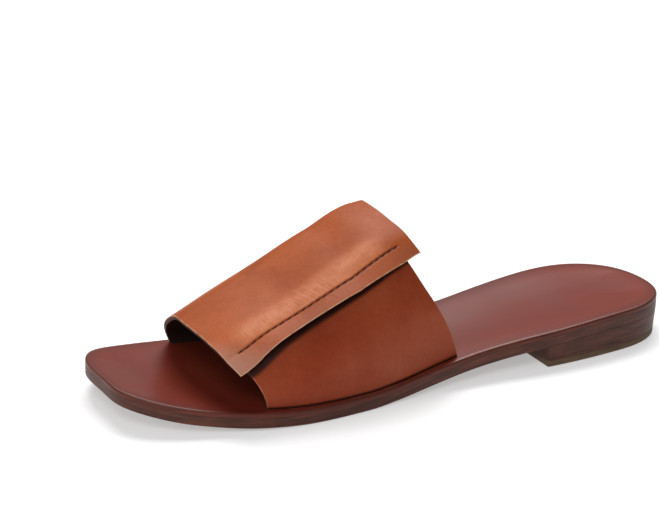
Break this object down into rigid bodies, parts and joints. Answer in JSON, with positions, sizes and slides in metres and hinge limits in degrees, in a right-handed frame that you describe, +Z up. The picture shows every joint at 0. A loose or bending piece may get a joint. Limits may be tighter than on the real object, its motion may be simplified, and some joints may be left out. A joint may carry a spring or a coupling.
{
  "type": "slide sandal",
  "caption": "Open leather slide sandal for the left foot: wide strap of overlapping panels with a stitched free flap, square toe, leather insole and outsole, and a low stacked heel.",
  "frame": {"origin": "on the floor, under the middle of the sole's length and width", "axes": "+X from heel to toe, +Y to the outer (lateral) side of the foot, +Z up"},
  "size_m": [0.26, 0.0886, 0.0678],
  "materials": {
    "upper_leather": "smooth, semi-gloss, fine grain",
    "footbed_leather": "smooth, polished",
    "sole_leather": "dark stained and burnished edges",
    "heel_rubber": "matt"
  },
  "bodies": {
    "root": {"upper": "upper_leather", "insole": "footbed_leather", "outsole": "sole_leather", "heel_lift": "sole_leather", "heel_top_piece": "heel_rubber"}
  },
  "joints": []
}
